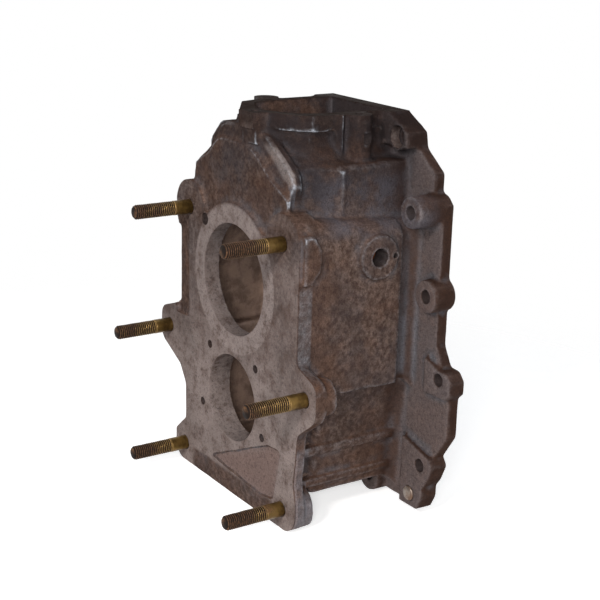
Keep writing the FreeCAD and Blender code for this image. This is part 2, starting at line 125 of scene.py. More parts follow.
# Where the casting's finish changes: from where to where along each axis, and how softly, in millimetres
ZONES = {
    # Front wall and front flange: the wall's slanting lip, the flange's sides, its sunk panel and foot
    "lip": {"X": (29, None, 3), "Y": (7.1, 11.5, 0.4), "Z": (86, 112, 3)},
    "lip_foot": {"X": (29, None, 3), "Y": (7.1, 11.5, 0.4), "Z": (70, 86, 3)},
    "side": {"X": (88, None, 2), "Y": (1, 12, 1), "Z": (-50, 14, 3)},
    "lower_side": {"Y": (1, 22, 1), "Z": (None, -112, 4)},
    "low_front": {"Y": (-1, 3, 0.5), "Z": (None, -116, 2)},
    "sunk": {"Y": (1.15, None, 0.15)},
    "strip": {"X": (-62, 62, 4), "Y": (-1, 3, 0.5), "Z": (None, -165, 2)},
    "upper_face": {"Y": (-1, 1, 0.5), "Z": (35, None, 10)},
    "front": {"Y": (-1, 11.5, 1)},
    "low": {"Z": (None, -60, 30)},
    # Tower, shoulders and body: the shoulder's facet, the rim, the upper edges and the port
    "facet": {"X": (67.5, None, 7.5), "Y": (30, 100, 10), "Z": (52, 90, 6)},
    "high": {"Z": (70, None, 20)},
    "right": {"X": (80, None, 10)},
    "rim": {"Z": (110.5, None, 5.5)},
    "cover_face": {"Z": (125, None, 5)},
    "glinting": {"Y": (None, 70, 5), "Z": (51.5, None, 6.5)},
    "port_bottom": {"X": (82.5, 84.5, 0.3)},
    # Fillets behind the front flange and before the rear one, and the rear flange itself
    "gutter": {"Y": (2, 22, 2), "Z": (None, -95, 5)},
    "flare": {"X": (88, None, 2), "Y": (80, 114, 4), "Z": (None, 25, 5)},
    "rear": {"Y": (95, None, 10)},
    # Inside: the gear space and pan, and the tower
    "room": {"Z": (-156.5, 57.5, 0.5)},
    "chute": {"X": (-48, 62, 1), "Y": (18, 108, 1)},
}

# Noises of the casting: scale, detail, roughness, and the values stretched to 0 and 1
CLOUDS = {
    "broad": (16, 4, 0.6, 0.4, 0.6),
    "blotch": (70, 5, 0.65, 0.42, 0.66),
    "mottle": (230, 5, 0.7, 0.36, 0.64),
    "specks": (420, 4, 0.7, 0.5, 0.66),
    "grain": (900, 3, 0.7, 0.38, 0.62),
}
TARNISH = (24, 5, 0.65, 0.42, 0.6)
TARNISH_SHIFT = (3.1, 1.7, 5.3)

# Scale of the waves that stand for the port's thread
PORT_THREAD = 320.0

# Stage: the floor in metres, and each lamp's place in metres, size, power and colour
FLOOR_HALF = 3.0
FLOOR_FADE = (0.3, 0.7)
FLOOR_GLOW = 0.6
ROOM_LIGHT = 0.2
CASE_MIDDLE = (0, 0, -0.03)
LAMPS = {
    "key": ((0.65, -1.0, 0.7), CASE_MIDDLE, 0.22, 9.5, (1, 0.96, 0.93)),
    "flash": ((1.05, -0.75, 0.4), CASE_MIDDLE, 0.25, 9, (1, 0.98, 0.96)),
    "fill": ((1.4, 0.1, 0.3), CASE_MIDDLE, 0.5, 3, (0.92, 0.96, 1)),
    "sky": ((-0.3, -0.2, 1.5), (0, 0, 0), 0.9, 5, (0.9, 0.95, 1)),
}


def both(places):
    """Every place and its mirror image."""
    return [(side * x, z) for x, z in places for side in (1, -1)]


def straight(axis, place, radius, start, stop):
    """A hole of one radius."""
    return axis, place, radius, radius, start, stop


def drilled():
    """Every hole: its axis, a point on it, its radii at both ends, and where it starts and stops."""
    beside = PORT[0] + PIN_ASIDE, PORT[1]
    mouth, behind = PORT_FACE + PAST, CASE_LENGTH + PAST
    holes = [
        straight("Y", (0, 0), MAIN_BORE, -PAST, FRONT_WALL + 1),
        straight("Y", (0, -BORE_SPACING), LOWER_BORE, -PAST, LOWER_HUB + 1),
        straight("Y", OIL_HOLE, OIL_HOLE_RADIUS, -PAST, FRONT_WALL + 1),
        straight("X", PORT, PORT_RADIUS, PORT_FACE - PORT_DEPTH, mouth),
        straight("X", beside, PIN_RADIUS, PORT_FACE - PIN_DEPTH, mouth),
    ]
    for angle in RETAINER_ANGLES:
        place = RETAINER * cos(radians(angle)), RETAINER * sin(radians(angle)) - BORE_SPACING
        holes.append(straight("Y", place, TAPPED, -PAST, RETAINER_DEPTH))
    holes += [straight("Y", place, STUD_CORE + CLEARANCE, -PAST, STUD_BURIED + 1) for place in both(STUDS)]
    holes += [straight("Y", place, SCREW, SCREW_START, behind) for place in both(SCREWS)]
    holes += [straight("Y", place, DOWEL + CLEARANCE, DOWEL_START, behind) for place in both([DOWEL_PLACE])]
    holes += [straight("Z", place, TAPPED, TOP - COVER_DEPTH, TOP + PAST) for place in COVER_SCREWS]
    return holes


def opened():
    """The wider mouths of some of these holes."""
    mouths = [("Y", place, STUD + 0.5, STUD_CORE, 0, 1) for place in both(STUDS)]
    mouths += [straight("Y", place, COUNTERBORE, *COUNTERBORE_SPAN) for place in both([SCREWS[1]])]
    return mouths


# Small helpers for node trees
def group(name, kind, outputs, inputs=()):
    """An empty node group with its interface, and its input and output nodes."""
    tree = bpy.data.node_groups.new(name, kind)
    for label, socket in inputs:
        tree.interface.new_socket(label, in_out="INPUT", socket_type="NodeSocket" + socket)
    for label, socket in outputs:
        tree.interface.new_socket(label, in_out="OUTPUT", socket_type="NodeSocket" + socket)
    return tree, tree.nodes.new("NodeGroupInput").outputs, tree.nodes.new("NodeGroupOutput").inputs


def feed(tree, socket, value):
    """Links another socket to this one, or sets a constant on it."""
    if isinstance(value, bpy.types.NodeSocket):
        tree.links.new(value, socket)
    else:
        socket.default_value = value


def node(tree, kind, links=None, **settings):
    """A node with its settings, its constants and its links from other sockets."""
    made = tree.nodes.new(kind)
    for key, value in settings.items():
        setattr(made, key, value)
    for key, value in (links or {}).items():
        feed(tree, made.inputs[key], value)
    return made


def calc(tree, operation, first, second=0.0, clamp=False):
    """One step of arithmetic."""
    made = node(tree, "ShaderNodeMath", {0: first, 1: second}, operation=operation, use_clamp=clamp)
    return made.outputs[0]


def times(tree, *parts):
    """The product of several masks and shares."""
    result = parts[0]
    for part in parts[1:]:
        result = calc(tree, "MULTIPLY", result, part)
    return result


def plus(tree, first, second, clamp=False):
    """A sum."""
    return calc(tree, "ADD", first, second, clamp)


def most(tree, *parts):
    """The greatest of several masks."""
    result = parts[0]
    for part in parts[1:]:
        result = calc(tree, "MAXIMUM", result, part)
    return result


def scaled(tree, mask, low, high):
    """A mask drawn from 0 and 1 to two other values."""
    return plus(tree, low, times(tree, mask, high - low))


def without(tree, mask, share=1.0):
    """1 where a mask is 0, and less by a share of it elsewhere."""
    return calc(tree, "SUBTRACT", 1.0, times(tree, mask, share))


def ramp(tree, value, low, high):
    """A smooth step from 0 at low to 1 at high."""
    made = node(tree, "ShaderNodeMapRange", {"Value": value, "From Min": low, "From Max": high},
                interpolation_type="SMOOTHSTEP")
    return made.outputs["Result"]


def length_of(tree, across, up):
    """How far two coordinates lead from their origin."""
    flat = node(tree, "ShaderNodeCombineXYZ", {"X": across, "Y": up}).outputs[0]
    return node(tree, "ShaderNodeVectorMath", {0: flat}, operation="LENGTH").outputs["Value"]


def within(tree, value, low, high, soft):
    """1 between two places along an axis and 0 outside, with soft ends. An end of None is open."""
    rise = 1.0 if low is None else ramp(tree, value, (low - soft) * MM, (low + soft) * MM)
    if high is None:
        return rise
    return calc(tree, "SUBTRACT", rise, ramp(tree, value, (high - soft) * MM, (high + soft) * MM))


def zone(tree, along, limits):
    """1 in a box with soft sides and 0 outside."""
    return times(tree, *[within(tree, along[axis], *ends) for axis, ends in limits.items()])


def blend(tree, share, under, over):
    """Two colours mixed by a share."""
    made = node(tree, "ShaderNodeMix", {0: share, 6: under, 7: over}, data_type="RGBA")
    return made.outputs[2]


def tone(red, green, blue):
    """A colour as it is seen, 0 to 255, made linear."""
    return (*[((part / 255 + 0.055) / 1.055) ** 2.4 for part in (red, green, blue)], 1.0)


def layered(tree, colour, layers):
    """A colour with others over it, each by its mask."""
    for mask, over in layers:
        colour = blend(tree, mask, colour, over)
    return colour


def attribute(tree, name):
    """A value that the mesh carries."""
    return node(tree, "ShaderNodeAttribute", attribute_name=name).outputs["Fac"]


# The effect that all finishes share
def cloud_effect():
    """Noise stretched to 0 to 1."""
    tree, given, out = group("cloud", "ShaderNodeTree", [("Mask", "Float")], [
        ("Place", "Vector"), ("Scale", "Float"), ("Detail", "Float"), ("Roughness", "Float"),
        ("Low", "Float"), ("High", "Float"),
    ])
    made = node(tree, "ShaderNodeTexNoise", {
        "Vector": given["Place"], "Scale": given["Scale"], "Detail": given["Detail"],
        "Roughness": given["Roughness"]})
    tree.links.new(ramp(tree, made.outputs["Fac"], given["Low"], given["High"]), out["Mask"])
    return tree


CLOUD = cloud_effect()


def cloud(tree, place, scale, detail, roughness, low, high):
    """The shared noise with a finish's own values."""
    made = node(tree, "ShaderNodeGroup", node_tree=CLOUD)
    for socket, value in zip(made.inputs, (place, scale, detail, roughness, low, high)):
        feed(tree, socket, value)
    return made.outputs["Mask"]


def look(name, *results):
    """The node group of a finish: its outputs are the shader's inputs that change over the surface."""
    kinds = [(result, "Color" if result == "Base Color" else "Float") for result in results]
    tree, _, out = group(name, "ShaderNodeTree", kinds)
    return tree, out, node(tree, "ShaderNodeTexCoord").outputs["Object"]


def deliver(tree, out, *values):
    """Gives a look's group its results."""
    for socket, value in zip(out, values):
        tree.links.new(value, socket)


def finish(name, looks, constants):
    """A material from a look's node group, with what is the same all over set on its shader."""
    material = bpy.data.materials.new(name)
    material.use_nodes = True
    tree = material.node_tree
    shader = tree.nodes["Principled BSDF"]
    for socket, value in constants.items():
        shader.inputs[socket].default_value = value
    for result in node(tree, "ShaderNodeGroup", node_tree=looks).outputs:
        if result.name == "Height":
            bump = node(tree, "ShaderNodeBump", {"Height": result, "Strength": 1.0, "Distance": MM})
            tree.links.new(bump.outputs["Normal"], shader.inputs["Normal"])
        else:
            tree.links.new(result, shader.inputs[result.name])
    return material


# Finish of the casting
def between_walls(tree, x, z):
    """1 between the side walls of the gear space and of the pan, which narrows downwards."""
    under = calc(tree, "MINIMUM", calc(tree, "SUBTRACT", z, PAN_TOP * MM), 0.0)
    half = plus(tree, PAN_HALF * MM, times(tree, under, PAN_TAPER))
    above = ramp(tree, z, (PAN_TOP - 1) * MM, (PAN_TOP + 1) * MM)
    half = plus(tree, half, times(tree, above, (GEAR_SPACE_HALF - PAN_HALF) * MM))
    spare = calc(tree, "SUBTRACT", half, calc(tree, "ABSOLUTE", x))
    return ramp(tree, spare, 0.0, 0.5 * MM)


def cast_masks(tree, place):
    """What the casting's finish is mixed by: noises, values that the mesh carries, and places."""
    along = node(tree, "ShaderNodeSeparateXYZ", {0: place}).outputs
    masks = SimpleNamespace()
    for name, values in CLOUDS.items():
        setattr(masks, name, cloud(tree, place, *values))
    shifted = node(tree, "ShaderNodeVectorMath", {0: place, 1: TARNISH_SHIFT}).outputs[0]
    masks.tarnish = cloud(tree, shifted, *TARNISH)
    for name in ("edge", "hollow", "upward", "outward", "inner", "machined", "drilled", "threaded"):
        setattr(masks, name, attribute(tree, name))
    for name, limits in ZONES.items():
        setattr(masks, name, zone(tree, along, limits))

    # Places that follow more than a box
    x, y, z = along["X"], along["Y"], along["Z"]
    reach = length_of(tree, x, z)
    masks.ring = within(tree, reach, MAIN_BORE, BEARING_RING, 1)
    outside = ramp(tree, reach, (BEARING_RING - 3) * MM, (BEARING_RING + 2) * MM)
    masks.ears = times(tree, masks.upper_face, outside)
    masks.lip = times(tree, masks.lip, 0.5)
    masks.lower_side = times(tree, masks.lower_side, ramp(tree, masks.outward, 0.4, 0.8),
                             scaled(tree, masks.tarnish, 0.35, 1))
    masks.facet = times(tree, masks.facet, scaled(tree, masks.tarnish, 0.3, 1))
    masks.panel = times(tree, masks.low_front, masks.sunk)
    masks.cavity = times(tree, between_walls(tree, x, z), masks.room, masks.inner)
    masks.chute = times(tree, masks.chute, masks.inner)
    masks.tower = times(tree, masks.high, without(tree, masks.front, 0.6), without(tree, masks.right, 0.8))
    port_y, port_z = [calc(tree, "SUBTRACT", way, middle * MM) for way, middle in zip((y, z), PORT)]
    near_port = calc(tree, "LESS_THAN", length_of(tree, port_y, port_z), (PORT_RADIUS + 0.2) * MM)
    masks.port_floor = times(tree, masks.port_bottom, near_port)

    # Machined faces, less where they have faded or never were machined
    faded = times(tree, masks.ears, scaled(tree, masks.blotch, 0.45, 0.95))
    masks.machined = times(tree, masks.machined, without(tree, masks.strip), without(tree, faded))

    # Painted highlights on fillets, on rubbed edges (partly wear) and as glints on the upper edges
    # The gutter and flare fillets get a stronger painted highlight
    pale = most(tree, masks.gutter, masks.flare)
    masks.bright = plus(tree, times(tree, masks.hollow, scaled(tree, masks.tarnish, 0.05, 0.45)),
                    times(tree, masks.hollow, pale, 0.6), clamp=True)
    masks.rubbed = times(tree, masks.edge, scaled(tree, masks.mottle, 0.15, 1),
                         without(tree, masks.rear, 0.75))
    masks.glint = times(
        tree, calc(tree, "POWER", masks.edge, 3.0), masks.glinting, without(tree, masks.lip, 0.9),
        without(tree, ramp(tree, masks.upward, 0.25, 0.5)), scaled(tree, masks.mottle, 0.25, 1))
    return masks


def cast_skin(tree, masks):
    """The skin as cast: brown-grey, rusty and blue-grey in places, with painted highlights, shade and light.
    """
    facing = ramp(tree, most(tree, masks.outward, masks.upward), 0.1, 0.95)
    # The rear flange's faces turned up or out, for rust and a painted shade, and its others, for a painted
    # light
    rusty_and_shaded_rear = times(tree, masks.rear, facing)
    painted_light_rear = times(tree, masks.rear, without(tree, facing))
    rusty = plus(tree, times(tree, masks.broad, 0.6), times(tree, ramp(tree, masks.upward, 0.3, 0.9), 0.5))
    rusty = plus(tree, rusty, times(tree, rusty_and_shaded_rear, 0.6), clamp=True)
    bluish = times(tree, masks.tarnish, without(tree, rusty, 0.8), scaled(tree, masks.tower, 0.35, 0.95))
    # The cavity's colour is painted light: lighter than the skin outside
    inside = blend(tree, masks.blotch, tone(150, 126, 112), tone(114, 95, 84))
    return layered(tree, blend(tree, masks.mottle, tone(77, 61, 55), tone(120, 101, 92)), (
        (times(tree, rusty, scaled(tree, masks.mottle, 0.5, 0.9)), tone(104, 72, 54)),
        (bluish, tone(66, 66, 72)),
        (times(tree, masks.blotch, 0.45), tone(62, 48, 42)),
        # Rust and a painted shade on the rear faces turned up or out, a painted light on the other rear faces
        (times(tree, rusty_and_shaded_rear, 0.8), tone(54, 38, 32)),
        (times(tree, painted_light_rear, 0.6), tone(118, 108, 108)),
        # Painted highlight on the fillets
        (times(tree, masks.bright, 0.6), tone(118, 122, 130)),
        # Lighter rubbed edges: wear, and partly a painted highlight
        (times(tree, masks.rubbed, 0.5), tone(150, 148, 152)),
        (times(tree, masks.panel, 0.85), tone(136, 116, 110)),
        # Painted bluish reflection on the front flange's sides, and lower down in the pocket behind it
        (times(tree, masks.side, scaled(tree, masks.mottle, 0.3, 0.9), 0.45), tone(132, 138, 146)),
        (times(tree, masks.lower_side, 0.55), tone(134, 132, 138)),
        # Painted light on the shoulder's facet
        (times(tree, masks.facet, 0.6), tone(102, 100, 108)),
        (times(tree, masks.lip, scaled(tree, masks.grain, 0.35, 0.95)), tone(200, 188, 184)),
        # Painted glare on the band below the lip
        (times(tree, masks.lip_foot, 0.5), tone(122, 126, 136)),
        (times(tree, masks.grain, 0.3), tone(50, 42, 40)),
        (times(tree, masks.specks, 0.35), tone(44, 36, 34)),
        # Painted shade: the upper tower and the rim drawn darker
        (times(tree, masks.tower, without(tree, masks.chute, 0.6), 0.55), tone(38, 32, 33)),
        (times(tree, masks.rim, without(tree, masks.chute), 0.45), tone(36, 30, 30)),
        # Painted light in the cavity
        (times(tree, masks.cavity, 0.75), inside),
        # Painted glints on the upper edges
        (times(tree, masks.glint, 0.85), tone(184, 190, 200)),
    ))


def machined_metal(tree, masks):
    """Machined faces: lighter, with a cleaner ring round the main bore, painted light lower down, painted
    shade on the cover face, and old stains.
    """
    return layered(tree, blend(tree, masks.broad, tone(76, 64, 61), tone(116, 102, 98)), (
        (times(tree, masks.ring, 0.6), tone(164, 151, 147)),
        # Painted light: the lower machined face drawn lighter
        (times(tree, masks.low, 0.6), tone(162, 148, 143)),
        (times(tree, masks.mottle, 0.35), tone(150, 138, 133)),
        (times(tree, masks.blotch, scaled(tree, masks.mottle, 0.25, 0.85)), tone(82, 64, 57)),
        (times(tree, masks.specks, 0.55), tone(64, 58, 59)),
        (times(tree, masks.grain, 0.25), tone(72, 62, 58)),
        # Painted shade on the cover face on top
        (times(tree, masks.cover_face, 0.9), tone(32, 23, 19)),
    ))


def cast_look():
    """Old cast aluminium: stained skin and machined faces, holes darkened by grime and painted shade, and a
    rusty floor in the port.
    """
    tree, out, place = look("cast_look", "Base Color", "Metallic", "Roughness", "Height")
    masks = cast_masks(tree, place)
    colour = layered(tree, cast_skin(tree, masks), (
        (masks.machined, machined_metal(tree, masks)),
        # Holes darker: grime and painted shade
        (times(tree, masks.drilled, 0.7), tone(56, 50, 50)),
        (masks.port_floor, tone(140, 84, 52)),
    ))
    shiny = plus(tree, most(tree, masks.rubbed, masks.glint, masks.bright),
                 times(tree, most(tree, masks.side, masks.lower_side), 0.6), clamp=True)
    dull = calc(tree, "SUBTRACT", times(tree, masks.blotch, 0.12), times(tree, shiny, 0.2))
    grit = plus(tree, times(tree, masks.grain, 0.14), times(tree, masks.mottle, 0.26))
    turns = node(tree, "ShaderNodeTexWave", {"Vector": place, "Scale": PORT_THREAD, "Distortion": 0.0},
                 bands_direction="X")
    thread = times(tree, turns.outputs["Fac"], masks.threaded, 0.6)
    height = plus(tree, times(tree, grit, without(tree, masks.machined, 0.85)), thread)
    metallic = plus(tree, 0.1, times(tree, shiny, 0.45), clamp=True)
    deliver(tree, out, colour, metallic, plus(tree, 0.5, dull), height)
    return tree


# Finishes of the small pieces
def zinc_look():
    """Yellow zinc on steel: golden shanks, painted highlights on the crests, grooves dark with painted shade,
    and grimy brown ends.
    """
    tree, out, place = look("zinc_look", "Base Color", "Metallic", "Roughness", "Height")
    broad = cloud(tree, place, 90, 3, 0.6, 0.35, 0.65)
    fine = cloud(tree, place, 600, 4, 0.6, 0.35, 0.65)
    along, groove, grime = [attribute(tree, name) for name in ("along", "groove", "grime")]
    worn = plus(tree, along, times(tree, calc(tree, "SUBTRACT", broad, 0.5), 0.5))
    dirty = ramp(tree, plus(tree, worn, times(tree, grime, 0.3)), 0.4, 1.0)
    painted_crest_highlight = times(tree, without(tree, ramp(tree, groove, 0.05, 0.3)), ramp(tree, along, 0.29, 0.31),
                  scaled(tree, fine, 0.25, 0.75))
    colour = layered(tree, blend(tree, broad, tone(72, 56, 28), tone(122, 98, 54)), (
        (times(tree, fine, 0.35), tone(104, 76, 44)),
        # Painted highlight on the thread crests
        (painted_crest_highlight, tone(184, 150, 100)),
        (times(tree, dirty, 0.9), blend(tree, fine, tone(46, 33, 28), tone(100, 70, 52))),
        # Painted shade in the thread grooves
        (ramp(tree, groove, 0.2, 0.6), tone(24, 15, 10)),
    ))
    dull = most(tree, dirty, ramp(tree, groove, 0.2, 0.7))
    deliver(tree, out, colour, scaled(tree, dull, 0.75, 0.2), scaled(tree, dull, 0.34, 0.69),
            times(tree, fine, 0.05))
    return tree


def steel_look():
    """Ground steel gone brown."""
    tree, out, place = look("steel_look", "Base Color", "Roughness", "Height")
    broad = cloud(tree, place, 160, 4, 0.6, 0.35, 0.65)
    fine = cloud(tree, place, 900, 3, 0.6, 0.35, 0.65)
    colour = blend(tree, broad, tone(150, 138, 128), tone(112, 88, 72))
    deliver(tree, out, colour, scaled(tree, broad, 0.35, 0.55), times(tree, fine, 0.03))
    return tree


def floor_look():
    """A pale studio floor."""
    tree, out, place = look("floor_look", "Base Color")
    fine = cloud(tree, place, 40, 2, 0.5, 0.35, 0.65)
    deliver(tree, out, blend(tree, fine, (0.86, 0.86, 0.86, 1), (0.88, 0.88, 0.88, 1)))
    return tree


# Meshes
def new_piece(name, mesh):
    """A piece at the origin."""
    piece = bpy.data.objects.new(name, mesh)
    bpy.context.scene.collection.objects.link(piece)
    return piece


def mesh_of(name, work):
    """A mesh from a finished bmesh, which is freed."""
    mesh = bpy.data.meshes.new(name)
    work.to_mesh(mesh)
    work.free()
    return mesh


def applied(piece):
    """Gives the piece its mesh with its modifiers applied."""
    depsgraph = bpy.context.evaluated_depsgraph_get()
    mesh = bpy.data.meshes.new_from_object(piece.evaluated_get(depsgraph))
    piece.modifiers.clear()
    old = piece.data
    piece.data = mesh
    bpy.data.meshes.remove(old)


def modify(piece, kind, **settings):
    """A modifier that is applied at once."""
    modifier = piece.modifiers.new(kind, kind)
    for key, value in settings.items():
        setattr(modifier, key, value)
    applied(piece)


def shade_smooth(mesh, sharp_from):
    """Smooth shading with sharp edges from an angle in degrees."""
    mesh.polygons.foreach_set("use_smooth", np.ones(len(mesh.polygons), dtype=bool))
    mesh.set_sharp_from_angle(angle=radians(sharp_from))


# How a cutter that stands on Z is laid along each axis
TURNS = {"X": Matrix.Rotation(pi / 2, 4, "Y"), "Y": Matrix.Rotation(-pi / 2, 4, "X"), "Z": Matrix.Identity(4)}


def spot(axis, place, depth):
    """A point from a place beside an axis and a depth along it."""
    across, up = place
    points = {"X": (depth, across, up), "Y": (across, depth, up), "Z": (across, up, depth)}
    return Vector(points[axis])


def cutter(name, holes):
    """A hidden solid of cylinders and cones."""
    work = bmesh.new()
    for axis, place, start, stop, low, high in holes:
        centre = spot(axis, place, (low + high) / 2) * MM
        bmesh.ops.create_cone(
            work, cap_ends=True, segments=BORE_SIDES if start > WIDE_BORE else HOLE_SIDES,
            radius1=start * MM, radius2=stop * MM, depth=(high - low) * MM,
            matrix=Matrix.Translation(centre) @ TURNS[axis])
    return new_piece(name, mesh_of(name, work))


def keep_box():
    """The room between the three machined planes, larger than the casting on its other sides."""
    work = bmesh.new()
    aside, under = 200, 250
    low = Vector((-aside, 0, -under)) * MM
    high = Vector((aside, CASE_LENGTH, TOP)) * MM
    place = Matrix.Translation((low + high) / 2) @ Matrix.Diagonal((*(high - low), 1))
    bmesh.ops.create_cube(work, size=1, matrix=place)
    return new_piece("keep", mesh_of("keep", work))


# The machined planes: their direction and how far out they lie
PLANES = (((0, -1, 0), 0.0), ((0, 1, 0), CASE_LENGTH), ((0, 0, 1), TOP))


def lengthened(source):
    """The casting with its machined faces drawn outwards, so that only cast edges are softened."""
    work = bmesh.new()
    work.from_mesh(source)
    bmesh.ops.remove_doubles(work, verts=work.verts, dist=TOUCHING * MM)
    for direction, level in PLANES:
        way = Vector(direction)
        chosen = [
            face for face in work.faces
            if face.normal.dot(way) > SQUARE_TO
            and abs(face.calc_center_median().dot(way) - level * MM) < TOUCHING * MM
        ]
        grown = bmesh.ops.extrude_face_region(work, geom=chosen)
        moved = [item for item in grown["geom"] if isinstance(item, bmesh.types.BMVert)]
        bmesh.ops.translate(work, verts=moved, vec=way * TRIM * MM)
        bmesh.ops.delete(work, geom=chosen, context="FACES")
    bmesh.ops.recalc_face_normals(work, faces=work.faces)
    return mesh_of("gearbox_casting", work)


def read(collection, name, width=3, kind=np.float64):
    """One property of every element, as an array."""
    values = np.empty(len(collection) * width, dtype=kind)
    collection.foreach_get(name, values)
    return values.reshape(-1, width) if width > 1 else values


def bends(mesh, rounds):
    """How the even mesh bends at each point, in 1/mm: above 0 on edges and below 0 in hollows."""
    points = read(mesh.vertices, "co") / MM
    normals = read(mesh.vertex_normals, "vector")
    ends = read(mesh.edges, "vertices", 2, np.int64)
    count = len(points)
    degree = np.bincount(ends.ravel(), minlength=count)

    def around(values):
        total = np.bincount(ends[:, 0], values[ends[:, 1]], count)
        return (total + np.bincount(ends[:, 1], values[ends[:, 0]], count)) / degree

    pull = np.stack([around(points[:, axis]) for axis in range(3)], 1) - points
    bend = -4 * (pull * normals).sum(1) / VOXEL ** 2
    for _ in range(rounds):
        bend = (bend + around(bend)) / 2
    return points, bend


def on_walls(centres, holes, near=ON_WALL):
    """Which points lie on the walls of the holes."""
    found = np.zeros(len(centres), dtype=bool)
    for axis, place, start, stop, low, high in holes:
        letter = "XYZ".index(axis)
        others = [index for index in range(3) if index != letter]
        away = np.hypot(centres[:, others[0]] - place[0], centres[:, others[1]] - place[1])
        depth = centres[:, letter]
        beside = (away < max(start, stop) + near) & (away > min(start, stop) * FACETED - near)
        found |= beside & (depth > low) & (depth < high)
    return found


def unevened(mesh):
    """Moves the points a little along their normals, as sand-cast surfaces wander."""
    points = read(mesh.vertices, "co")
    normals = read(mesh.vertex_normals, "vector")
    moves = np.zeros(len(points))
    for wave, amount in UNEVEN:
        moves += [amount * (noise.noise(Vector(point) / (wave * MM)) - SUNK_SHARE) for point in points]
    moves[on_walls(points / MM, drilled() + opened(), HOLE_SLACK)] = HOLE_LIFT
    points += normals * (moves * MM)[:, None]
    mesh.vertices.foreach_set("co", points.ravel())
    mesh.update()


def carry(mesh, name, values, domain="POINT"):
    """Stores a value on the mesh for its material."""
    layer = mesh.attributes.new(name, "FLOAT", domain)
    layer.data.foreach_set("value", np.asarray(values, dtype=np.float32))


def carry_directions(mesh):
    """Which points face up and sideways, and which look into the hollow inside."""
    # How far a point has to look towards the middle, and what looking backwards counts, in millimetres
    least, for_backward = 8, 40
    points = read(mesh.vertices, "co") / MM
    normals = read(mesh.vertex_normals, "vector")
    carry(mesh, "upward", np.clip(normals[:, 2], 0, 1))
    carry(mesh, "outward", np.clip(np.abs(normals[:, 0]), 0, 1))
    inward = -points[:, 0] * normals[:, 0] - (points[:, 2] - INSIDE_MIDDLE) * normals[:, 2]
    inward += for_backward * (normals[:, 1] > 0.5)
    behind_front = points[:, 1] > FRONT_WALL + 0.5
    before_rear = points[:, 1] < CASE_LENGTH - 0.1
    carry(mesh, "inner", (inward > least) & behind_front & before_rear)


def carry_faces(mesh):
    """Which faces are machined, drilled or threaded."""
    centres = read(mesh.polygons, "center") / MM
    normals = read(mesh.polygons, "normal")
    holes = drilled() + opened()
    machined = on_walls(centres, [hole for hole in holes if hole[2] > SMALL_HOLE])
    for direction, level in PLANES:
        machined |= (normals @ direction > SQUARE_TO) & (abs(centres @ direction - level) < TOUCHING)
    small = [hole for hole in holes if hole[2] < SMALL_HOLE]
    sideways = [hole for hole in small if hole[0] == "X"]
    carry(mesh, "machined", machined, "FACE")
    carry(mesh, "drilled", on_walls(centres, small), "FACE")
    carry(mesh, "threaded", on_walls(centres, sideways), "FACE")


def softened_casting():
    """The casting with rounded cast edges and crisp machined ones, and what its material reads."""
    piece = new_piece("gearbox_casting", lengthened(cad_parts["housing_casting"].data))
    modify(piece, "REMESH", mode="VOXEL", voxel_size=VOXEL * MM)
    modify(piece, "SMOOTH", factor=0.5, iterations=SOFTENING)
    unevened(piece.data)
    points, edges = bends(piece.data, EDGE_ROUNDS)
    hollows = bends(piece.data, HOLLOW_ROUNDS)[1]
    tree = kdtree.KDTree(len(points))
    for index, point in enumerate(points):
        tree.insert(point, index)
    tree.balance()
    count = sum(len(polygon.vertices) - 2 for polygon in piece.data.polygons)
    modify(piece, "DECIMATE", ratio=min(1.0, TRIANGLES / count))
    tools = (
        (keep_box(), "INTERSECT"),
        (cutter("drills", drilled()), "DIFFERENCE"),
        (cutter("mouths", opened()), "DIFFERENCE"),
    )
    for tool, operation in tools:
        modify(piece, "BOOLEAN", object=tool, operation=operation, solver="MANIFOLD")
        bpy.data.objects.remove(tool)

    mesh = piece.data
    near = np.array([tree.find(vertex.co / MM)[1] for vertex in mesh.vertices])
    carry(mesh, "edge", np.clip((edges[near] - EDGE_BEND) / EDGE_SPAN, 0, 1))
    carry(mesh, "hollow", np.clip((-hollows[near] - HOLLOW_BEND) / HOLLOW_SPAN, 0, 1))
    carry_directions(mesh)
    carry_faces(mesh)
    shade_smooth(mesh, sharp_from=40)
    return piece


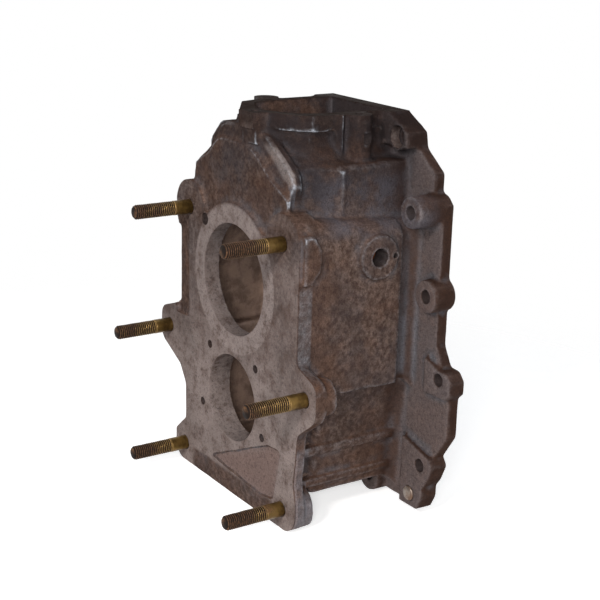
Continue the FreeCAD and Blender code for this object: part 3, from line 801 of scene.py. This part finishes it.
# Turned pieces: studs and dowels
def turned_rods():
    """A node group that stands rods along Y on its points, chamfered and threaded between two depths."""
    tree, given, out = group("turned_rods", "GeometryNodeTree", [("Geometry", "Geometry")], [
        ("Geometry", "Geometry"), ("Radius", "Float"), ("Core", "Float"), ("Seat", "Float"),
        ("Front", "Float"), ("Back", "Float"), ("Front Chamfer", "Float"), ("Back Chamfer", "Float"),
        ("Pitch", "Float"), ("Depth", "Float"), ("Thread Back", "Float"),
        ("Around", "Int"), ("Rows", "Int"), ("Seed", "Int"), ("Material", "Material"),
    ])
    sheet = node(tree, "GeometryNodeMeshGrid", {
        "Size X": 1.0, "Size Y": 1.0, "Vertices X": given["Around"], "Vertices Y": given["Rows"]})
    place = node(tree, "GeometryNodeInputPosition").outputs[0]
    at = node(tree, "ShaderNodeSeparateXYZ", {0: place}).outputs
    turn = plus(tree, at["X"], 0.5)

    # The first and the last row are the middles of the ends
    step = calc(tree, "DIVIDE", 1.0, calc(tree, "SUBTRACT", given["Rows"], 3.0))
    rows = times(tree, plus(tree, at["Y"], 0.5), plus(tree, 1.0, times(tree, step, 2.0)))
    share = calc(tree, "SUBTRACT", rows, step)
    inside = plus(tree, share, 0.0, clamp=True)
    length = calc(tree, "SUBTRACT", given["Back"], given["Front"])
    depth = plus(tree, given["Front"], times(tree, inside, length))
    half = times(tree, step, 0.5)
    closed = times(tree, calc(tree, "GREATER_THAN", share, times(tree, half, -1.0)),
                   calc(tree, "LESS_THAN", share, plus(tree, 1.0, half)))

    # Thread, core and chamfers
    winding = plus(tree, calc(tree, "DIVIDE", depth, given["Pitch"]), plus(tree, turn, 100.0))
    phase = calc(tree, "FRACT", winding)
    groove = calc(tree, "ABSOLUTE", calc(tree, "SUBTRACT", times(tree, phase, 2.0), 1.0))
    before = calc(tree, "SUBTRACT", given["Thread Back"], depth)
    groove = times(tree, groove, calc(tree, "DIVIDE", before, given["Pitch"], clamp=True))
    radius = calc(tree, "SUBTRACT", given["Radius"], times(tree, groove, given["Depth"]))
    buried = calc(tree, "GREATER_THAN", depth, given["Seat"])
    slim = times(tree, buried, calc(tree, "SUBTRACT", given["Radius"], given["Core"]))
    radius = calc(tree, "SUBTRACT", radius, slim)
    front_way = calc(tree, "SUBTRACT", depth, given["Front"])
    back_way = calc(tree, "SUBTRACT", given["Back"], depth)
    for way, chamfer in ((front_way, given["Front Chamfer"]), (back_way, given["Back Chamfer"])):
        bevelled = plus(tree, calc(tree, "SUBTRACT", given["Radius"], chamfer), way)
        radius = calc(tree, "MINIMUM", radius, bevelled)
    radius = times(tree, radius, closed)
    angle = times(tree, turn, 2 * pi)
    placed = node(tree, "ShaderNodeCombineXYZ", {
        "X": times(tree, radius, calc(tree, "COSINE", angle)), "Y": depth,
        "Z": times(tree, radius, calc(tree, "SINE", angle), -1.0)})
    along = calc(tree, "DIVIDE", depth, given["Front"], clamp=True)
    rod = sheet.outputs["Mesh"]
    for name, value in (("groove", groove), ("along", along)):
        rod = node(tree, "GeometryNodeStoreNamedAttribute", {"Geometry": rod, "Name": name, "Value": value},
                   data_type="FLOAT", domain="POINT").outputs[0]
    rod = node(tree, "GeometryNodeSetPosition", {"Geometry": rod, "Position": placed.outputs[0]}).outputs[0]
    rod = node(tree, "GeometryNodeMergeByDistance", {"Geometry": rod, "Distance": 0.002 * MM}).outputs[0]

    # One on each point, each turned and soiled differently
    drawn = node(tree, "FunctionNodeRandomValue", {"Seed": given["Seed"]}, data_type="FLOAT")
    chance = drawn.outputs["Value"]
    spin = node(tree, "ShaderNodeCombineXYZ", {"Y": times(tree, chance, 2 * pi)}).outputs[0]
    rods = node(tree, "GeometryNodeInstanceOnPoints", {
        "Points": given["Geometry"], "Instance": rod, "Rotation": spin}).outputs[0]
    rods = node(tree, "GeometryNodeStoreNamedAttribute", {"Geometry": rods, "Name": "grime", "Value": chance},
                data_type="FLOAT", domain="INSTANCE").outputs[0]
    rods = node(tree, "GeometryNodeRealizeInstances", {"Geometry": rods}).outputs[0]
    rods = node(tree, "GeometryNodeSetMaterial", {"Geometry": rods, "Material": given["Material"]}).outputs[0]
    tree.links.new(rods, out[0])
    return tree


def rods_on(name, tree, places, sizes):
    """Rods of one kind, as one mesh."""
    mesh = bpy.data.meshes.new(name)
    mesh.from_pydata([(x * MM, 0, z * MM) for x, z in places], [], [])
    piece = new_piece(name, mesh)
    modifier = piece.modifiers.new("rods", "NODES")
    modifier.node_group = tree
    for item in tree.interface.items_tree:
        if item.in_out == "INPUT" and item.name in sizes:
            modifier[item.identifier] = sizes[item.name]
    applied(piece)
    shade_smooth(piece.data, sharp_from=60)
    return piece


casting = softened_casting()
casting.data.materials.clear()
casting.data.materials.append(finish("cast_aluminium_paint", cast_look(), {"Specular IOR Level": 0.0}))
turned = turned_rods()
studs = rods_on("threaded_studs", turned, both(STUDS), {
    "Radius": STUD * MM, "Core": STUD_CORE * MM, "Seat": 0.0, "Front": -STUD_REACH * MM,
    "Back": STUD_BURIED * MM, "Front Chamfer": STUD_CHAMFER * MM, "Back Chamfer": 0.5 * MM,
    "Pitch": THREAD_PITCH * MM, "Depth": THREAD_DEPTH * MM, "Thread Back": -SHANK * MM,
    "Around": 33, "Rows": 224, "Seed": SEED,
    "Material": finish("yellow_zinc_paint", zinc_look(), {"Specular IOR Level": 0.15}),
})
dowels = rods_on("ground_dowels", turned, both([DOWEL_PLACE]), {
    "Radius": DOWEL * MM, "Core": DOWEL * MM, "Seat": CASE_LENGTH * MM, "Front": DOWEL_ENDS[0] * MM,
    "Back": DOWEL_ENDS[1] * MM, "Front Chamfer": 0.4 * MM, "Back Chamfer": 0.8 * MM,
    "Pitch": MM, "Depth": 0.0, "Thread Back": 0.0,
    "Around": 49, "Rows": 60, "Seed": SEED,
    "Material": finish("bright_steel_paint", steel_look(), {"Metallic": 0.7}),
})
for piece, solid, slot in (
    (casting, "housing_casting", "cast_aluminium"), (studs, "mounting_studs", "yellow_zinc"),
    (dowels, "locating_dowels", "bright_steel"),
):
    print(piece.name, "triangles", sum(len(polygon.vertices) - 2 for polygon in piece.data.polygons))
    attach(piece, "root")
    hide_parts(solid)


# Stage
def seen_white(tree):
    """1 for the rays that the background is white for, and 0 for those that light the case."""
    path = node(tree, "ShaderNodeLightPath").outputs
    return most(tree, path["Is Camera Ray"], path["Is Transmission Ray"], path["Is Glossy Ray"])


def stage():
    """A pale floor under the foot that fades into the background."""
    mesh = bpy.data.meshes.new("floor")
    corners = ((-1, -1), (1, -1), (1, 1), (-1, 1))
    points = [(side * FLOOR_HALF, depth * FLOOR_HALF, FOOT * MM) for side, depth in corners]
    mesh.from_pydata(points, [], [(0, 1, 2, 3)])
    floor = new_piece("floor", mesh)
    material = finish("floor_paint", floor_look(), {"Roughness": 0.9, "Emission Color": (1, 1, 1, 1)})
    tree = material.node_tree
    place = node(tree, "ShaderNodeTexCoord").outputs["Object"]
    away = node(tree, "ShaderNodeVectorMath", {0: place}, operation="LENGTH").outputs["Value"]
    shader = tree.nodes["Principled BSDF"]
    tree.links.new(without(tree, ramp(tree, away, *FLOOR_FADE)), shader.inputs["Alpha"])
    tree.links.new(times(tree, seen_white(tree), FLOOR_GLOW), shader.inputs["Emission Strength"])
    mesh.materials.append(material)


def lamp(name, place, target, size, power, colour):
    """A soft square lamp that looks at the case."""
    light = bpy.data.lights.new(name, "AREA")
    light.size = size
    light.energy = power
    light.color = colour
    lit = bpy.data.objects.new(name, light)
    lit.location = place
    lit.rotation_euler = (Vector(target) - Vector(place)).to_track_quat("-Z", "Y").to_euler()
    bpy.context.scene.collection.objects.link(lit)


def surroundings():
    """A white background, and a dimmer room that lights the case."""
    world = bpy.data.worlds.new("studio")
    bpy.context.scene.world = world
    world.use_nodes = True
    tree = world.node_tree
    white = node(tree, "ShaderNodeBackground", {"Color": (1, 1, 1, 1), "Strength": 1.0})
    room = tree.nodes["Background"]
    room.inputs["Color"].default_value = (0.93, 0.96, 1, 1)
    room.inputs["Strength"].default_value = ROOM_LIGHT
    mixed = node(tree, "ShaderNodeMixShader", {0: seen_white(tree), 1: room.outputs[0], 2: white.outputs[0]})
    tree.links.new(mixed.outputs[0], tree.nodes["World Output"].inputs["Surface"])
    bpy.context.scene.view_settings.view_transform = "Standard"


def camera():
    """The camera at the photograph's angle, solved from the bores and the studs."""
    yaw, pitch, roll = 0.977217371, 0.292103493, 0.0278711753
    focal, across, above, distance = 1315.40788, -52.7120373, 15.9092482, 1034.28197
    frame_width = 600
    back = Vector((sin(yaw) * cos(pitch), -cos(yaw) * cos(pitch), sin(pitch)))
    level = Vector((cos(yaw), sin(yaw), 0))
    rise = back.cross(level)
    right = level * cos(roll) + rise * sin(roll)
    up = rise * cos(roll) - level * sin(roll)
    data = bpy.data.cameras.new("camera")
    data.sensor_width = 36.0
    data.lens = focal * data.sensor_width / frame_width
    data.clip_start = 0.05
    data.clip_end = 20
    seat = bpy.data.objects.new("camera", data)
    place = (back * distance - right * across - up * above) * MM
    turn = Matrix((right, up, back)).transposed().to_4x4()
    seat.matrix_world = Matrix.Translation(place) @ turn
    bpy.context.scene.collection.objects.link(seat)
    bpy.context.scene.camera = seat


stage()
for name, settings in LAMPS.items():
    lamp(name, *settings)
surroundings()
camera()
